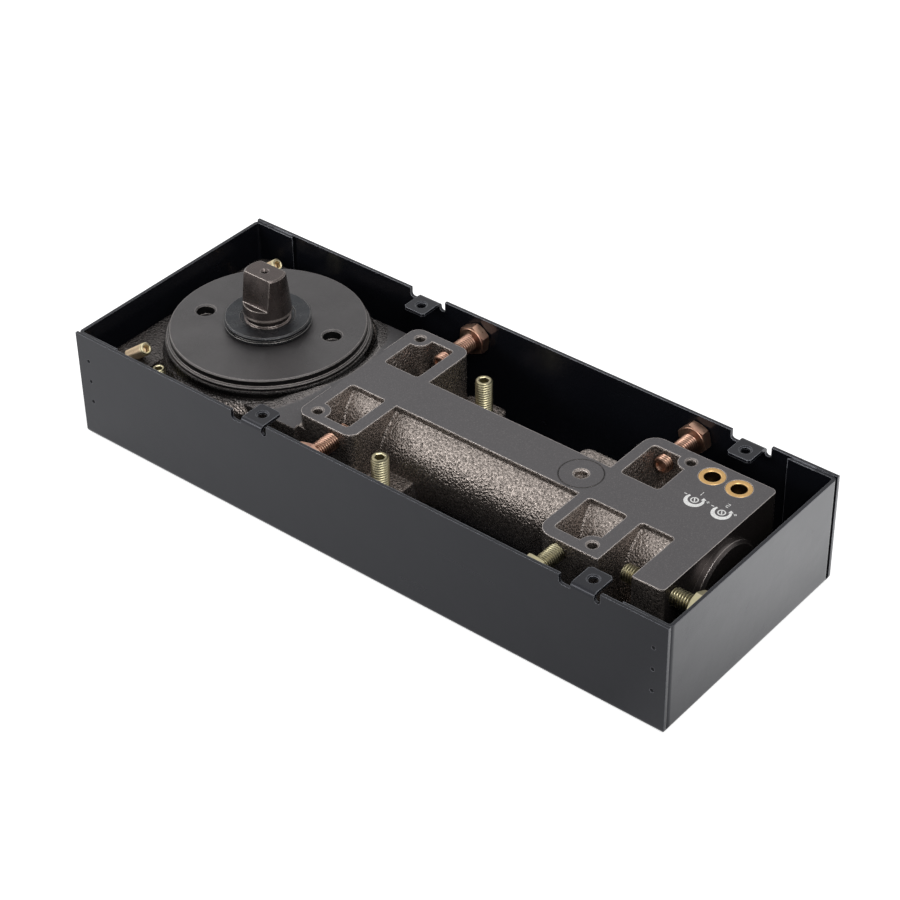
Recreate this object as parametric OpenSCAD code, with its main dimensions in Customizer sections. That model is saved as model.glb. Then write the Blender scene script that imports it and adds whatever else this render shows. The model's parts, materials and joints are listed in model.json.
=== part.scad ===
// Floor spring door closer: a cast-iron hydraulic closer standing in a folded steel floor box.
// +X runs along the box from the spindle end to the valve end, -Y is the near long wall, +Z is up.
// The origin is the centre of the box's underside. Sizes in mm.

/* [View] */
// piece to draw, or all of them

/* [Floor box] */
// outside length of the box
box_l = 320; // [300:1:345]
// outside width of the box
box_w = 120; // [112:1:130]
// outside height of the box
box_h = 55; // [52:0.5:60]
// thickness of the folded sheet
sheet_t = 1.5; // [1.2:0.1:2]
// outside radius of the folds
fold_r = 2.5; // [2:0.1:4]
// length of the end walls' folded side flanges
flange_l = 22; // [15:1:30]
// where the two pairs of cover tabs stand along X
tab_mid = 32.2; // [30:0.1:35]
// distance between the left and right cover screws
tab_span_x = 174; // [165:1:180]
// distance between the near and far cover screws
tab_span_y = 105; // [101:1:108]
// width of a cover tab
tab_w = 11.5; // [9:0.5:14]
// how far the tabs lie below the rim
tab_drop = 1.5; // [1:0.1:3]

/* [Casting] */
// gap under the casting
foot_gap = 2.5; // [2:0.1:4]
// height of the machined top above the box's underside
top_z = 51.5; // [50:0.1:52]
// half width of the left and right blocks
block_y = 40; // [36:0.5:44]
// half width of the narrow middle strip
strip_y = 10.8; // [10.6:0.1:14]
// left and right ends of the left block
left_block = [-47, -16]; // [-60:1:0]
// left and right ends of the right block
right_block = [81, 143.5]; // [70:0.5:145]
// spindle axis along X
head_x = -99.6; // [-101:0.1:-98.5]
// outside radius of the round head
head_r = 50; // [49:0.5:51]
// height of the seat under the cover disc
seat_z = 48.2; // [47:0.1:49]
// inside radius of the cam chamber
chamber_r = 44.5; // [44:0.1:45]
// height of the cylinder axis
axis_z = 27.5; // [27:0.1:28]
// outside radius of the cylinder
barrel_r = 23.5; // [22.5:0.1:24]
// bore radius of the cylinder
bore_r = 18; // [17.8:0.05:18.4]
// radius of the passage from the chamber to the bore
passage_r = 15.6; // [15.5:0.1:16]
// distance between the left and right tapped holes
hole_span_x = 145; // [140:1:150]
// distance between the near and far tapped holes
hole_span_y = 68; // [64:1:70]

/* [Spindle and cam] */
// radius of the spindle in the closer
spindle_r = 10.5; // [10:0.1:10.6]
// radius of the spindle's foot
foot_r = 8.5; // [8:0.1:9]
// top of the spindle above the box's underside
spindle_top = 80.5; // [75:0.5:90]
// radius of the drive end at its base and at its top
drive_r = [11.1, 9.3]; // [9:0.1:12]
// half distance across the drive flats at their base and at their top
flat_y = [7.6, 5.3]; // [5:0.1:9]
// distance from the spindle axis to the spring roller when the door is closed
cam_r0 = 19; // [19:0.1:19.5]
// travel of the slide for each radian of the spindle
cam_rise = 6; // [5.8:0.05:6.1]
// radius of both cam rollers
roller_r = 6; // [5.8:0.05:6]
// thickness of the heart cam
cam_t = 12; // [10:0.5:12]

/* [Piston and spring] */
// length of the piston
piston_len = 32; // [26:1:33]
// left and right ends of the spring seat plate
seat_x = [-40, -35]; // [-42:1:-34]
// radius of the spring wire
wire_r = 2.5; // [2:0.1:2.5]
// half the pitch of the spring, whose tilt is that of a 7-24-25 triangle
half_pitch = 8.4; // [7.56:0.14:8.4]
// half turns between the two closed ends
half_turns = 14; // [12:1:14]

/* [Screws] */
// radius of the two middle levelling screws
level_r = 4; // [3:0.5:4]
// radius of the left levelling and push screws
screw_r = 3; // [2.5:0.5:3]
// radius of the side bolts and the end bolt
bolt_r = 4; // [3:0.5:4]
// X and Y of the middle levelling screws
level_at = [-5, 35]; // [-10:1:40]
// X from the box's left end, and Y, of the left levelling screws
corner_in = [38, 47.5]; // [35:0.5:50]
// X of the two left and the two right side bolts
side_x = [-27, 92]; // [-30:1:95]
// height of the side bolts
side_z = 45; // [42:0.5:46]
// slope of the push screws below the horizontal
push_slope = 38; // [30:1:45]

/* [Fits] */
// radial clearance of a turning or sliding fit
run = 0.05; // [0.02:0.01:0.1]
// radial clearance of a screw in its tapped hole
thread_gap = 0.03; // [0.01:0.01:0.05]
// end clearance between neighbouring pieces
end_gap = 0.1; // [0.05:0.05:0.3]

/* [Hidden] */
$fn = 96;

e = 0.01;
in_x = box_l / 2 - sheet_t;            // inside faces of the end walls
in_y = box_w / 2 - sheet_t;            // inside faces of the long walls
tab_top = box_h - tab_drop;
tab_in = tab_span_y / 2 - 5.7;         // free edge of a tab
tab_x = [tab_mid - tab_span_x / 2, tab_mid + tab_span_x / 2];
tap5_r = 2.1;                          // M5 tapped hole
hole_mid = 32.5;
hole_x = [hole_mid - hole_span_x / 2, hole_mid + hole_span_x / 2];
hole_y = hole_span_y / 2;
foot_z = sheet_t + foot_gap;           // underside of the casting
floor_z = 9.5;                         // floor of the cam chamber
roof_z = 43;                           // roof of the cam chamber
neck_y = [17.5, 42];                   // half widths of the neck's flat top and of its sloping shoulders
neck_z = 43.4;                         // height of the shoulders' outer edges
corner_at = [corner_in[0] - box_l / 2, corner_in[1]];
wall_left = 8.5 - box_l / 2;           // left edge of the foot flange
flange_z = [26, 41.5];                 // underside and top of the left flange
hub_r = 42;                            // thread of the cover disc
hub_z = 41;
disc_r = 44.3;
rim_r = 45.6;
disc_top = seat_z + 5;
bush_r = 5.8;                          // brass valve bush, outside
bush_in = 3.5;
valve_x = [117.2, 130.4];
valve_y = 31.5;
plug_x = 74;
plug_r = 9.4;
cap_x = right_block[1];
cap_thread = 20.5;
cap_in = cap_x - 9;
cap_flange = 21.6;
brg_out = 14;                          // upper bearing and seal, outside
low_out = 12;
step_z = 15.1;                         // shoulder of the spindle on the lower bearing
collar_z = [disc_top + 0.8, disc_top + 4.7];
drive_z = [collar_z[1], 59.6, 65.6];   // neck, drive base and foot of the flats
cam_z = axis_z - cam_t / 2;
plate_gap = cam_t + 0.6;
plate_t = 3.2;
plate_z = [axis_z - plate_gap / 2 - plate_t, axis_z + plate_gap / 2];
pin_r = 3;
roller_x = [head_x - cam_r0, head_x + cam_r0 + cam_rise * PI];
yoke_x = [-54, -43];
rod_r = 5;
check_z = axis_z + 10.5;
ball_r = 2.4;
coil_r = half_pitch * 12 / 7;          // coil centre line
coil_q = half_pitch * 25 / 14;         // the same in the tilted plane of a half turn
coil_tilt = atan(7 / 24);
ring_off = wire_r - 0.3;               // centre line of a ground end ring from its face
coil_x = [seat_x[1] + ring_off, seat_x[1] + ring_off + half_turns * half_pitch];
piston_x = [coil_x[1] + ring_off, coil_x[1] + ring_off + piston_len];
check_x = [piston_x[1] - 10, piston_x[1] - 3];
bolt_head = 5.3;
bolt_af = 13;
bolt_in = block_y - 9;                 // tips of the side bolts
end_bolt_at = [-32, 44];               // Y and Z of the end bolt
push_y = 43;
push_top = [26.5 - box_l / 2, 48.3];   // X and Z of the push screws' socket ends
push_len = 30.2;

black = [0.09, 0.09, 0.10];
iron = [0.33, 0.31, 0.30];
steel = [0.62, 0.63, 0.65];
dark = [0.24, 0.24, 0.25];
brass = [0.80, 0.64, 0.33];
copper = [0.78, 0.48, 0.34];
zinc = [0.78, 0.74, 0.48];
rubber = [0.07, 0.07, 0.07];

// ---------- shared shapes ----------

// rectangle from corner a to corner b with rounded corners
module round_rect(a, b, r) {
  translate([a[0] + r, a[1]]) square([b[0] - a[0] - 2 * r, b[1] - a[1]]);
  translate([a[0], a[1] + r]) square([b[0] - a[0], b[1] - a[1] - 2 * r]);
  for (x = [a[0] + r, b[0] - r], y = [a[1] + r, b[1] - r]) translate([x, y]) circle(r);
}

module block(a, b) { translate(a) cube(b - a); }

// a shape and its mirror image across the long axis
module both_sides() { children(); mirror([0, 1, 0]) children(); }

// lays an upright shape along +X, at the cylinder axis
module along_x(x, z = axis_z, y = 0) { translate([x, y, z]) rotate([0, 90, 0]) children(); }

// tapped hole from its mouth downwards, with a countersunk edge
module tapped(r, depth) {
  translate([0, 0, -depth]) cylinder(r = r, h = depth + 1);
  translate([0, 0, -0.45]) cylinder(r1 = r, r2 = r + 0.8, h = 0.45 + e);
}

// socket set screw standing on its tip at the origin
module set_screw(r, len, socket_r) {
  difference() {
    rotate_extrude() polygon([[0, 0], [r * 0.55, 0], [r, r * 0.45], [r, len - 0.7], [r - 0.7, len], [0, len]]);
    translate([0, 0, len - r * 1.1]) cylinder(r = socket_r, h = r * 1.1 + 1, $fn = 6);
    translate([0, 0, len - 0.5]) cylinder(r1 = socket_r * 0.9, r2 = socket_r + 0.35, h = 0.5 + e);
  }
}

// hex-head bolt along +Z, its head's outer face at the origin
module hex_bolt(r, len) {
  intersection() {
    cylinder(r = bolt_af / 2 / cos(30), h = bolt_head, $fn = 6);
    cylinder(r1 = bolt_af / 2 - 0.3, r2 = bolt_af / 2 + 3.7, h = bolt_head * 1.7);
  }
  translate([0, 0, bolt_head - e])
    rotate_extrude() polygon([[0, 0], [r, 0], [r, len - 0.8], [r - 0.8, len], [r * 0.6, len],
      [r * 0.5, len - 1.4], [0, len - 1.8]]);
}

// ---------- floor box ----------

// section of the folded channel across the box
module channel_section(out) {
  w = out ? box_w / 2 : in_y;
  r = out ? fold_r : fold_r - sheet_t;
  z = out ? 0 : sheet_t;
  translate([-w, z + r]) square([2 * w, box_h + 2]);
  translate([-w + r, z]) square([2 * w - 2 * r, r + 1]);
  for (s = [-1, 1]) translate([s * (w - r), z + r]) circle(r);
}

// plan of one end wall with its two folded side flanges, drawn at the left end
module end_plan() {
  difference() {
    round_rect([-box_l / 2, -in_y], [-in_x + flange_l, in_y], fold_r);
    round_rect([-in_x, -in_y + sheet_t], [-in_x + flange_l + 9, in_y - sheet_t], fold_r - sheet_t);
    translate([-in_x + flange_l - fold_r, -in_y + sheet_t]) square([9, 2 * (in_y - sheet_t)]);
  }
}

// gaps beside one tab: a wide notch to its left, a round-bottomed slot to its right
module tab_notches(x) {
  y0 = box_w / 2 - 6;
  translate([x - tab_w / 2 - 5.5, y0, 52]) cube([5.5, 9, 9]);
  translate([x - tab_w / 2 - 4, y0, 50.5]) cube([4, 9, 3]);
  translate([x - tab_w / 2 - 4, y0, 52]) rotate([-90, 0, 0]) cylinder(r = 1.5, h = 9);
  translate([x + tab_w / 2, y0, 51.2]) cube([3, 9, 9]);
  translate([x + tab_w / 2 + 1.5, y0, 51.2]) rotate([-90, 0, 0]) cylinder(r = 1.5, h = 9);
  translate([x - tab_w / 2 - 1, y0, tab_top - 2.2]) cube([tab_w + 2, 9, 9]);
}

// one folded tab with its tapped hole
module tab(x) {
  w = box_w / 2;
  r = 2.2;
  difference() {
    union() {
      translate([x - tab_w / 2, tab_in, tab_top - sheet_t]) cube([tab_w, w - r - tab_in, sheet_t]);
      translate([x - tab_w / 2, w - r, tab_top - r]) intersection() {
        rotate([0, 90, 0]) cylinder(r = r, h = tab_w);
        cube([tab_w, r + 1, r + 1]);
      }
    }
    translate([x - tab_w / 2 - 1, w - r - e, tab_top - r - e]) intersection() {
      rotate([0, 90, 0]) cylinder(r = r - sheet_t, h = tab_w + 2);
      cube([tab_w + 2, r, r]);
    }
    translate([x, tab_span_y / 2, tab_top]) tapped(tap5_r, 4);
    for (s = [-1, 1]) translate([x + s * tab_w / 2, tab_in, tab_top])
      rotate([0, 0, 45]) cube([1.6, 1.6, 6], center = true);
  }
}

module cement_box() color(black) {
  difference() {
    union() {
      difference() {
        block([-box_l / 2, -box_w / 2, 0], [box_l / 2, box_w / 2, box_h]);
        translate([-box_l / 2 - 1, 0, 0]) rotate([90, 0, 90]) linear_extrude(box_l + 2) channel_section(false);
      }
      for (m = [0, 1]) mirror([m, 0, 0]) linear_extrude(box_h - 0.5) end_plan();
    }
    // rounded folds along the bottom edges
    difference() {
      block([-box_l / 2 - 1, -box_w / 2 - 1, -1], [box_l / 2 + 1, box_w / 2 + 1, fold_r]);
      translate([-box_l / 2 - 2, 0, 0]) rotate([90, 0, 90]) linear_extrude(box_l + 4) channel_section(true);
    }
    difference() {
      block([-box_l / 2 - 1, -box_w / 2 - 1, -1], [box_l / 2 + 1, box_w / 2 + 1, fold_r]);
      translate([0, box_w / 2 + 2, 0]) rotate([90, 0, 0]) linear_extrude(box_w + 4)
        round_rect([-box_l / 2, 0], [box_l / 2, box_h + 9], fold_r);
    }
    both_sides() for (x = tab_x) tab_notches(x);
    // spot welds of the end flanges
    both_sides() for (s = [-1, 1], z = [20, 31, 42])
      translate([s * (box_l / 2 - 6.5), box_w / 2 + 0.55, z]) sphere(r = 1.1);
  }
  both_sides() for (x = tab_x) tab(x);
}

// ---------- casting ----------

// outline of the machined top right of the head
module top_plan() {
  difference() {
    round_rect([left_block[0], -block_y], [left_block[1], block_y], 5);
    for (s = [-1, 1]) translate([left_block[0] - 1, s > 0 ? block_y - 5 : -block_y - 1]) square([6, 6]);
  }
  for (s = [-1, 1]) translate([left_block[0] + 5, s * (block_y - 5)]) circle(5);
  translate([-60, -strip_y]) square([180, 2 * strip_y]);
  round_rect([right_block[0], -block_y], [right_block[1], block_y], 2.5);
  for (s = [-1, 1]) translate([right_block[0] + 7, s * (block_y - 7)]) circle(7);
}

// outline cut away so that the right block's left corners are well rounded
module right_corners() {
  for (s = [0, 1]) mirror([0, s]) difference() {
    translate([right_block[0] - 1, block_y - 7]) square([8, 8]);
    translate([right_block[0] + 7, block_y - 7]) circle(7);
  }
}

// pocket outline between x0 and x1, kept clear of the tapped hole at hx
module pocket_plan(x0, x1, y1, hx) {
  difference() {
    round_rect([x0, strip_y - 0.3], [x1, y1], 1.8);
    translate([hx, hole_y]) circle(5.6);
  }
}

// what is cut from a pocket's walls, their draft included, between x0 and x1
module pocket(x0, x1, y1, hx) both_sides() intersection() {
  translate([0, 0, 34]) linear_extrude(60) pocket_plan(x0, x1, y1, hx);
  translate([0, 60, 0]) rotate([90, 0, 0]) linear_extrude(60)
    polygon([[x0 + 4.6, 34], [x1 - 1.2, 34], [x1, top_z - 0.6], [x1, 70], [x0, 70], [x0, top_z - 0.6]]);
}

module cast_blocks() {
  // left block, right block and neck
  difference() {
    union() {
      translate([head_x + 20, 0, 0]) rotate([90, 0, 90]) linear_extrude(left_block[0] - head_x - 20 + 6)
        polygon([[-neck_y[1] + 2, 26], [neck_y[1] - 2, 26], [neck_y[1], 31], [neck_y[1], neck_z],
          [neck_y[0], top_z], [-neck_y[0], top_z], [-neck_y[1], neck_z], [-neck_y[1], 31]]);
      translate([0, 0, 20]) linear_extrude(top_z - 20) difference() { top_plan(); right_corners(); }
      block([right_block[0] + 4, -block_y + 3, foot_z + 4], [right_block[1], block_y - 3, 21]);
      block([left_block[0] + 2, -block_y + 3, foot_z + 8], [left_block[1] - 2, block_y - 3, 21]);
    }
    // the round head stands here
    translate([head_x, 0, 0]) cylinder(r = head_r - 2, h = 60);
    // shoulders end at the left block's wall
    both_sides() block([left_block[0], block_y, 20], [left_block[0] + 9, 60, 60]);
    // underside of the narrow strip is left to the barrel
    both_sides() block([left_block[1] + e, strip_y + e, 0], [right_block[0] - e, 60, 60]);
    // pockets
    pocket(-41, -22, 35.5, hole_x[0]);
    pocket(86, 105.3, 34.5, hole_x[1]);
    translate([0, 0, 15]) linear_extrude(60) round_rect([112, -block_y - 9], [128.5, -strip_y + 0.3], 1.8);
  }
}

module casting() color(iron) {
  difference() {
    union() {
      cast_blocks();
      // round head and its lip under the disc
      translate([head_x, 0, foot_z]) rotate_extrude()
        polygon([[0, 0], [head_r - 3, 0], [head_r, 3], [head_r, 39 - foot_z], [rim_r + 0.8, 43.5 - foot_z],
          [rim_r + 0.8, seat_z - foot_z], [0, seat_z - foot_z]]);
      // barrel of the cylinder
      along_x(-66) cylinder(r = barrel_r, h = right_block[1] + 66);
      // flange at the spindle end, which carries the push screws
      translate([0, 0, flange_z[0]]) linear_extrude(flange_z[1] - flange_z[0]) difference() {
        round_rect([wall_left, -51], [head_x, 51], 5);
        both_sides() translate([-130, 36]) square([40, 30]);
      }
      // ears of the left levelling screws
      both_sides() translate([0, 0, 18]) linear_extrude(18) union() {
        translate([corner_at[0] - 8, 30]) square([16, corner_at[1] - 30]);
        translate([corner_at[0] - 8, corner_at[1] - 3]) square([16, 8.5]);
      }
      // lugs of the middle levelling screws
      both_sides() translate([0, 0, foot_z]) linear_extrude(22.5)
        round_rect([left_block[1] - 2, 15], [level_at[0] + 8, level_at[1] + 7], 3);
      // small lug behind the filler plug
      translate([0, 0, 30]) linear_extrude(17) round_rect([61.5, 5], [84, 20.5], 4);
    }
    // seat of the cover disc, and round it a moat with a sloping wall and a rolled edge
    translate([head_x, 0, 0]) rotate_extrude() polygon([[0, seat_z], [rim_r + 0.8, seat_z], [rim_r + 0.8, 46.4],
      [head_r - 0.6, 48.8], [head_r + 0.8, 50.4], [head_r + 3.2, top_z + 0.1], [head_r + 3.2, 70], [0, 70]]);
    // cam chamber, its mouth and the seal groove
    translate([head_x, 0, floor_z]) difference() {
      cylinder(r = chamber_r, h = roof_z - floor_z);
      cylinder(r = 16, h = 5);
    }
    translate([head_x, 0, roof_z - e]) cylinder(r = hub_r, h = 20);
    translate([head_x, 0, seat_z - 2]) cylinder(r = hub_r + 2.6, h = 20);
    // pocket of the lower bearing
    translate([head_x, 0, 6]) cylinder(r = low_out, h = 20);
    // passage, cylinder bore and thread of the end cap
    along_x(head_x + 30) cylinder(r = passage_r, h = seat_x[0] - head_x - 30 + 1);
    along_x(seat_x[0]) cylinder(r = bore_r, h = 200);
    along_x(cap_in - 2.5) cylinder(r = cap_thread, h = 60);
    // oil way in the strip, from the passage to the far end of the bore
    along_x(head_x + 52, axis_z + 19.9, 7.6) cylinder(r = 1.2, h = 106 - head_x - 52);
    translate([head_x + 53.2, 7.6, axis_z + 12]) cylinder(r = 1.2, h = 8);
    translate([104, 7.6, axis_z + 12]) cylinder(r = 1.2, h = 8);
    // valve wells, their seats and ports into the bore
    for (x = valve_x) {
      translate([x, valve_y, 38]) cylinder(r = bush_r, h = 30);
      translate([x, valve_y, 34]) cylinder(r = bush_in, h = 30);
      translate([x, valve_y, 26]) cylinder(r = 1.8, h = 30);
      translate([x, valve_y, 27.5]) rotate([90, 0, 0]) cylinder(r = 1.4, h = valve_y - 8);
    }
    // filler plug's counterbore and thread
    translate([plug_x, 0, top_z - 2.2]) cylinder(r = plug_r + 0.15, h = 20);
    translate([plug_x, 0, axis_z]) cylinder(r = 4 + thread_gap, h = 30);
    // four tapped holes in the machined top
    both_sides() for (x = hole_x) translate([x, hole_y, top_z]) tapped(tap5_r, 14);
    // levelling screws
    both_sides() translate([level_at[0], level_at[1], 0]) cylinder(r = level_r + thread_gap, h = 60);
    both_sides() translate([corner_at[0], corner_at[1], 0]) cylinder(r = screw_r + thread_gap, h = 60);
    // side bolts, end bolt and push screws
    both_sides() for (x = side_x) translate([x, 30, side_z]) rotate([-90, 0, 0])
      cylinder(r = bolt_r + thread_gap, h = 40);
    along_x(120, end_bolt_at[1], end_bolt_at[0]) cylinder(r = bolt_r + thread_gap, h = 60);
    both_sides() translate([push_top[0], push_y, push_top[1]]) rotate([0, -90 - push_slope, 0])
      translate([0, 0, -10]) cylinder(r = screw_r + thread_gap, h = 70);
  }
}

module cover_disc() color(dark) {
  translate([head_x, 0, 0]) difference() {
    rotate_extrude() polygon([[spindle_r + 0.3, 51.4], [spindle_r + 0.3, disc_top], [disc_r - 0.5, disc_top],
      [disc_r, disc_top - 0.5], [disc_r, seat_z + 1.8], [rim_r - 0.3, seat_z + 1.8], [rim_r, seat_z + 1.5],
      [rim_r, seat_z], [hub_r - 0.1, seat_z], [hub_r - 0.1, hub_z], [30, hub_z], [30, 46], [18, 46], [18, hub_z],
      [brg_out, hub_z], [brg_out, 51.4]]);
    // two holes for the pin spanner
    for (a = [19, 199]) rotate([0, 0, a]) translate([30.6, 0, 48.5]) cylinder(r = 4.1, h = 10);
    for (a = [19, 199]) rotate([0, 0, a]) translate([30.6, 0, disc_top - 0.6])
      cylinder(r1 = 4.1, r2 = 4.8, h = 0.6 + e);
  }
}

module cover_seal() color(rubber)
  translate([head_x, 0, seat_z - 1]) rotate_extrude() translate([hub_r + 1.35, 0]) circle(0.98);

module end_cap() color(iron) {
  difference() {
    union() {
      along_x(cap_in) cylinder(r = cap_thread, h = cap_x - cap_in);
      along_x(cap_x) cylinder(r = cap_flange, h = 2.6);
      along_x(cap_x + 2.6) cylinder(r1 = cap_flange, r2 = cap_flange - 1.2, h = 1.2);
    }
    along_x(cap_in - 1) cylinder(r = 14, h = 6);
    for (s = [-1, 1]) along_x(cap_x - 1, axis_z, s * 13) cylinder(r = 2.5, h = 9);
  }
}

module end_cap_seal() color(rubber)
  along_x(cap_in - 1.25) rotate_extrude() translate([cap_thread - 1.35, 0]) circle(1.2);

module filler_plug() color(iron) {
  difference() {
    union() {
      translate([plug_x, 0, top_z - 2.2]) cylinder(r = plug_r, h = 2.2);
      translate([plug_x, 0, axis_z + bore_r + 0.2]) cylinder(r = 4, h = top_z - axis_z - bore_r - 1);
    }
    translate([plug_x, 0, top_z - 3]) cylinder(r = 3, h = 9, $fn = 6);
    translate([plug_x, 0, top_z - 0.5]) cylinder(r1 = 2.9, r2 = 3.6, h = 0.5 + e);
  }
}

module valve_bushes() color(brass) for (x = valve_x) translate([x, valve_y, 38])
  rotate_extrude() polygon([[bush_in, 0], [bush_r, 0], [bush_r, top_z - 38 - 0.3], [bush_r - 0.3, top_z - 38],
    [bush_in + 0.3, top_z - 38], [bush_in, top_z - 38 - 0.3]]);

module lower_bearing() color(steel) translate([head_x, 0, 6]) difference() {
  cylinder(r = low_out, h = 9);
  translate([0, 0, -1]) cylinder(r = foot_r + run, h = 20);
}

module upper_bearing() color(steel) translate([head_x, 0, hub_z]) difference() {
  cylinder(r = brg_out, h = 6.2);
  translate([0, 0, -1]) cylinder(r = spindle_r + run, h = 20);
}

module spindle_seal() color(rubber) translate([head_x, 0, hub_z + 6.3]) difference() {
  cylinder(r = brg_out, h = 4.1);
  translate([0, 0, -1]) cylinder(r = spindle_r + 0.02, h = 20);
  translate([0, 0, -1]) cylinder(r = spindle_r + 1.6, h = 2.6);
}

module spring_seat() color(steel) difference() {
  union() {
    along_x(seat_x[0]) cylinder(r = bore_r - 0.1, h = seat_x[1] - seat_x[0]);
    along_x(seat_x[1] - e) cylinder(r1 = 10.5, r2 = 9, h = 6);
  }
  along_x(seat_x[0] - 1) cylinder(r = rod_r + run, h = 40);
}

// ---------- spindle, cam and what turns with them ----------

module spindle() color(steel) {
  s = drive_z[2];
  dx = (drive_r[0] - drive_r[1]) / (spindle_top - drive_z[1] - 0.8);
  difference() {
    translate([head_x, 0, 0]) rotate_extrude()
      polygon([[0, 6.2], [foot_r - 0.8, 6.2], [foot_r, 7], [foot_r, step_z], [spindle_r, step_z],
        [spindle_r, 39.6], [spindle_r - 0.9, 39.6], [spindle_r - 0.9, 40.9], [spindle_r, 40.9],
        [spindle_r, drive_z[0] - 1], [spindle_r - 0.8, drive_z[0] - 0.6], [spindle_r - 0.8, drive_z[1] - 0.4],
        [drive_r[0], drive_z[1] + 0.8], [drive_r[1] + 0.4 * dx, spindle_top - 0.6],
        [drive_r[1] - 0.6, spindle_top], [0, spindle_top]]);
    // two tapered flats along the box
    for (m = [0, 1]) mirror([0, m, 0]) translate([head_x - 20, 0, 0]) rotate([90, 0, 90]) linear_extrude(40)
      polygon([[flat_y[0], s], [30, s - 1.2], [30, spindle_top + 5], [flat_y[1], spindle_top + 5],
        [flat_y[1], spindle_top]]);
    // centre hole in the top
    translate([head_x, 0, spindle_top - 4]) cylinder(r = 1.1, h = 9);
    translate([head_x, 0, spindle_top - 0.9]) cylinder(r1 = 1.1, r2 = 2, h = 0.9 + e);
    // keyway
    block([head_x + 7.4, -2.5, cam_z], [head_x + 20, 2.5, cam_z + cam_t]);
  }
}

// distance from the spindle axis to a roller's centre, a degrees round from the notch
function pitch(a) = cam_r0 + cam_rise * a * PI / 180;
// point of the cam's edge that touches the roller there
function edge(a) =
  let (p = pitch(a), t = [cam_rise * cos(a) - p * sin(a), cam_rise * sin(a) + p * cos(a)])
  [p * cos(a), p * sin(a)] - (roller_r + run) / norm(t) * [t[1], -t[0]];

// heart cam of constant breadth: its notch holds the spring roller when the door is closed
module heart_cam() color(steel) {
  translate([head_x, 0, cam_z]) difference() {
    rotate([0, 0, 180]) for (m = [0, 1]) mirror([0, m, 0]) linear_extrude(cam_t) intersection() {
      polygon(concat([[0, 0], [cam_r0, 0]], [for (a = [0:3:180]) edge(a)]));
      translate([-60, 0]) square([120, 60]);
    }
    translate([-cam_r0, 0, -1]) cylinder(r = roller_r + run, h = cam_t + 2);
    translate([0, 0, -1]) cylinder(r = spindle_r + 0.01, h = cam_t + 2);
    translate([0, -2.5, -1]) cube([12.6, 5, cam_t + 2]);
  }
}

module cam_key() color(steel)
  block([head_x + 7.5, -2.5 + 0.02, cam_z + 0.1], [head_x + 12.5, 2.5 - 0.02, cam_z + cam_t - 0.1]);

module retaining_ring() color(steel) translate([head_x, 0, 39.7]) difference() {
  cylinder(r = 13.2, h = 1.1);
  translate([0, 0, -1]) cylinder(r = spindle_r - 0.85, h = 4);
  translate([-20, -2, -1]) cube([20, 4, 4]);
}

module dust_collar() color(dark) translate([head_x, 0, 0]) rotate_extrude()
  polygon([[spindle_r, collar_z[0]], [19.2, collar_z[0]], [19.6, collar_z[0] + 0.4], [19.6, collar_z[0] + 1.4],
    [18.7, collar_z[0] + 1.6], [18.7, collar_z[0] + 2.1], [19.4, collar_z[0] + 2.3], [19.4, collar_z[1] - 0.5],
    [18.9, collar_z[1]], [12.4, collar_z[1] - 0.3], [12, collar_z[1] - 0.8], [spindle_r, collar_z[1] - 1.1]]);

// ---------- slide, rollers, piston and spring ----------

module plate_plan() {
  difference() {
    union() {
      translate([roller_x[0], 0]) circle(9.5);
      round_rect([head_x - 22, -16], [head_x + 27, 16], 3);
      round_rect([head_x + 20, -12], [yoke_x[1], 12], 1.5);
    }
    translate([head_x, -spindle_r - 0.3]) square([13.7, 2 * spindle_r + 0.6]);
    for (x = [0, 13.7]) translate([head_x + x, 0]) circle(spindle_r + 0.3);
    for (x = concat(roller_x, [(yoke_x[0] + yoke_x[1]) / 2])) translate([x, 0]) circle(pin_r);
  }
}

module slide_plates() color(steel)
  for (z = plate_z) translate([0, 0, z]) linear_extrude(plate_t) plate_plan();

module roller_pins() color(steel)
  for (x = roller_x) translate([x, 0, plate_z[0]]) cylinder(r = pin_r, h = plate_gap + 2 * plate_t);

module yoke_pin() color(steel)
  translate([(yoke_x[0] + yoke_x[1]) / 2, 0, plate_z[0]]) cylinder(r = pin_r, h = plate_gap + 2 * plate_t);

module tie_rod() color(steel) {
  difference() {
    block([yoke_x[0], -11, axis_z - plate_gap / 2], [yoke_x[1], 11, axis_z + plate_gap / 2]);
    translate([(yoke_x[0] + yoke_x[1]) / 2, 0, 0]) cylinder(r = pin_r, h = 60);
  }
  along_x(yoke_x[1] - e) cylinder(r = rod_r, h = check_x[0] - 4 - yoke_x[1]);
}

module piston() color(iron) difference() {
  along_x(piston_x[0]) rotate_extrude()
    polygon([[0, 0], [bore_r - run - 1, 0], [bore_r - run, 1], [bore_r - run, 12], [15.8, 12], [15.8, 15],
      [bore_r - run, 15], [bore_r - run, piston_x[1] - piston_x[0] - 1],
      [bore_r - run - 1, piston_x[1] - piston_x[0]], [0, piston_x[1] - piston_x[0]]]);
  along_x(piston_x[0] - 1) cylinder(r = rod_r, h = check_x[0] - 4 - piston_x[0] + 1);
  along_x(piston_x[0] - 1, check_z) cylinder(r = 1.5, h = 60);
  along_x(check_x[0], check_z) cylinder(r = ball_r + 0.15, h = 60);
}

module piston_seal() color(rubber) along_x(piston_x[0] + 12) difference() {
  cylinder(r = bore_r - 0.02, h = 3);
  translate([0, 0, -1]) cylinder(r = 15.8, h = 6);
}

module check_ball() color(steel)
  translate([check_x[0] + sqrt(ball_r * ball_r - 1.5 * 1.5) + 0.02, 0, check_z]) sphere(r = ball_r);

module check_retainer() color(brass) along_x(check_x[1], check_z) difference() {
  cylinder(r = ball_r + 0.15, h = 3);
  translate([0, 0, -1]) cylinder(r = 1.2, h = 9);
}

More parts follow.
